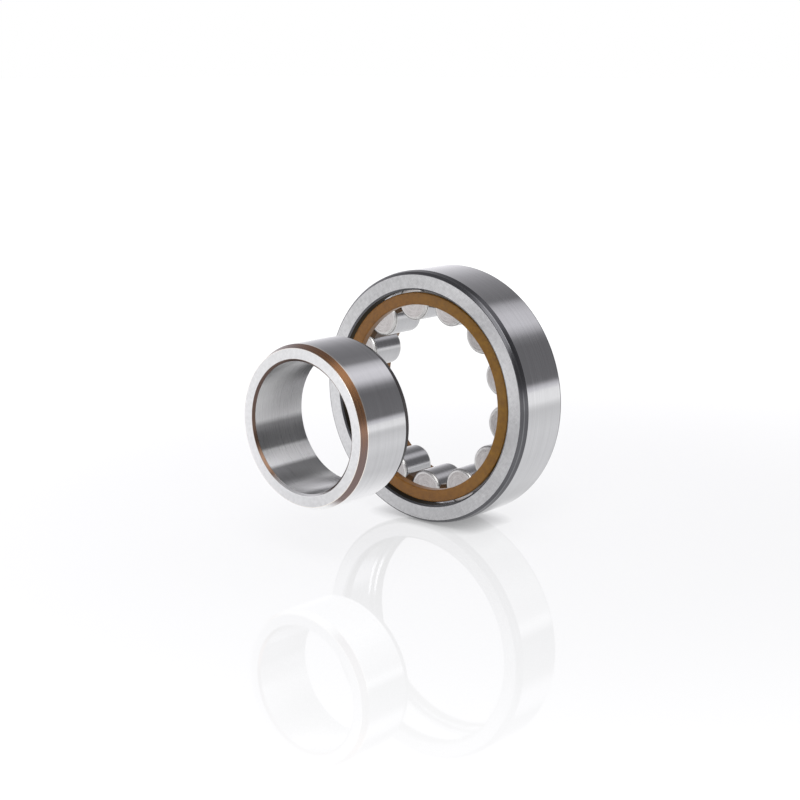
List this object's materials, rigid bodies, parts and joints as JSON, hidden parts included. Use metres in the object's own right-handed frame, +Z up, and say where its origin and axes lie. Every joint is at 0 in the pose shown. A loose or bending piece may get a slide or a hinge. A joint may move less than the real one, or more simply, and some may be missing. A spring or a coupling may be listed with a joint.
{
  "type": "cylindrical roller bearing",
  "caption": "Separable cylindrical roller bearing: ribbed outer ring with caged rollers, and a plain inner ring drawn out along the axis.",
  "frame": {"origin": "centre of the outer ring, on the bearing's axis and half way across its width", "axes": "+Y along the bearing's axis, from the drawn-out inner ring towards the outer ring's rear face; +Z up"},
  "size_m": [0.062, 0.057, 0.062],
  "materials": {
    "ring_steel": "ground bearing steel with dark turned bevels",
    "roller_steel": "fine ground and polished bearing steel",
    "cage_polymer": "satin amber-brown reinforced polymer"
  },
  "bodies": {
    "outer_ring": {"outer_ring": "ring_steel"},
    "cage": {"cage": "cage_polymer"},
    "inner_ring": {"inner_ring": "ring_steel"},
    "roller_01": {"roller_01": "roller_steel"},
    "roller_02": {"roller_02": "roller_steel"},
    "roller_03": {"roller_03": "roller_steel"},
    "roller_04": {"roller_04": "roller_steel"},
    "roller_05": {"roller_05": "roller_steel"},
    "roller_06": {"roller_06": "roller_steel"},
    "roller_07": {"roller_07": "roller_steel"},
    "roller_08": {"roller_08": "roller_steel"},
    "roller_09": {"roller_09": "roller_steel"},
    "roller_10": {"roller_10": "roller_steel"},
    "roller_11": {"roller_11": "roller_steel"},
    "roller_12": {"roller_12": "roller_steel"},
    "roller_13": {"roller_13": "roller_steel"}
  },
  "joints": [
    {"name": "cage_orbit", "type": "hinge", "parent": "outer_ring", "child": "cage", "pos_m": [0, 0, 0], "axis": [0, 1, 0], "continuous": true},
    {"name": "inner_ring_draw", "type": "slide", "parent": "cage", "child": "inner_ring", "axis": [0, 1, 0], "range_m": [0, 0.041]},
    {"name": "roller_01_spin", "type": "hinge", "parent": "cage", "child": "roller_01", "pos_m": [0.022, 0, 0.00757], "axis": [0, 1, 0], "continuous": true},
    {"name": "roller_02_spin", "type": "hinge", "parent": "cage", "child": "roller_02", "pos_m": [0.01596, 0, 0.01693], "axis": [0, 1, 0], "continuous": true},
    {"name": "roller_03_spin", "type": "hinge", "parent": "cage", "child": "roller_03", "pos_m": [0.00626, 0, 0.02241], "axis": [0, 1, 0], "continuous": true},
    {"name": "roller_04_spin", "type": "hinge", "parent": "cage", "child": "roller_04", "pos_m": [-0.00487, 0, 0.02275], "axis": [0, 1, 0], "continuous": true},
    {"name": "roller_05_spin", "type": "hinge", "parent": "cage", "child": "roller_05", "pos_m": [-0.01488, 0, 0.01788], "axis": [0, 1, 0], "continuous": true},
    {"name": "roller_06_spin", "type": "hinge", "parent": "cage", "child": "roller_06", "pos_m": [-0.02149, 0, 0.00892], "axis": [0, 1, 0], "continuous": true},
    {"name": "roller_07_spin", "type": "hinge", "parent": "cage", "child": "roller_07", "pos_m": [-0.02317, 0, -0.00209], "axis": [0, 1, 0], "continuous": true},
    {"name": "roller_08_spin", "type": "hinge", "parent": "cage", "child": "roller_08", "pos_m": [-0.01955, 0, -0.01262], "axis": [0, 1, 0], "continuous": true},
    {"name": "roller_09_spin", "type": "hinge", "parent": "cage", "child": "roller_09", "pos_m": [-0.01144, 0, -0.02026], "axis": [0, 1, 0], "continuous": true},
    {"name": "roller_10_spin", "type": "hinge", "parent": "cage", "child": "roller_10", "pos_m": [-0.00072, 0, -0.02325], "axis": [0, 1, 0], "continuous": true},
    {"name": "roller_11_spin", "type": "hinge", "parent": "cage", "child": "roller_11", "pos_m": [0.01017, 0, -0.02092], "axis": [0, 1, 0], "continuous": true},
    {"name": "roller_12_spin", "type": "hinge", "parent": "cage", "child": "roller_12", "pos_m": [0.01873, 0, -0.0138], "axis": [0, 1, 0], "continuous": true},
    {"name": "roller_13_spin", "type": "hinge", "parent": "cage", "child": "roller_13", "pos_m": [0.023, 0, -0.00352], "axis": [0, 1, 0], "continuous": true}
  ],
  "couplings": [
    {"joint": "roller_01_spin", "follows": "cage_orbit", "ratio": -6.17},
    {"joint": "roller_02_spin", "follows": "cage_orbit", "ratio": -6.17},
    {"joint": "roller_03_spin", "follows": "cage_orbit", "ratio": -6.17},
    {"joint": "roller_04_spin", "follows": "cage_orbit", "ratio": -6.17},
    {"joint": "roller_05_spin", "follows": "cage_orbit", "ratio": -6.17},
    {"joint": "roller_06_spin", "follows": "cage_orbit", "ratio": -6.17},
    {"joint": "roller_07_spin", "follows": "cage_orbit", "ratio": -6.17},
    {"joint": "roller_08_spin", "follows": "cage_orbit", "ratio": -6.17},
    {"joint": "roller_09_spin", "follows": "cage_orbit", "ratio": -6.17},
    {"joint": "roller_10_spin", "follows": "cage_orbit", "ratio": -6.17},
    {"joint": "roller_11_spin", "follows": "cage_orbit", "ratio": -6.17},
    {"joint": "roller_12_spin", "follows": "cage_orbit", "ratio": -6.17},
    {"joint": "roller_13_spin", "follows": "cage_orbit", "ratio": -6.17}
  ]
}
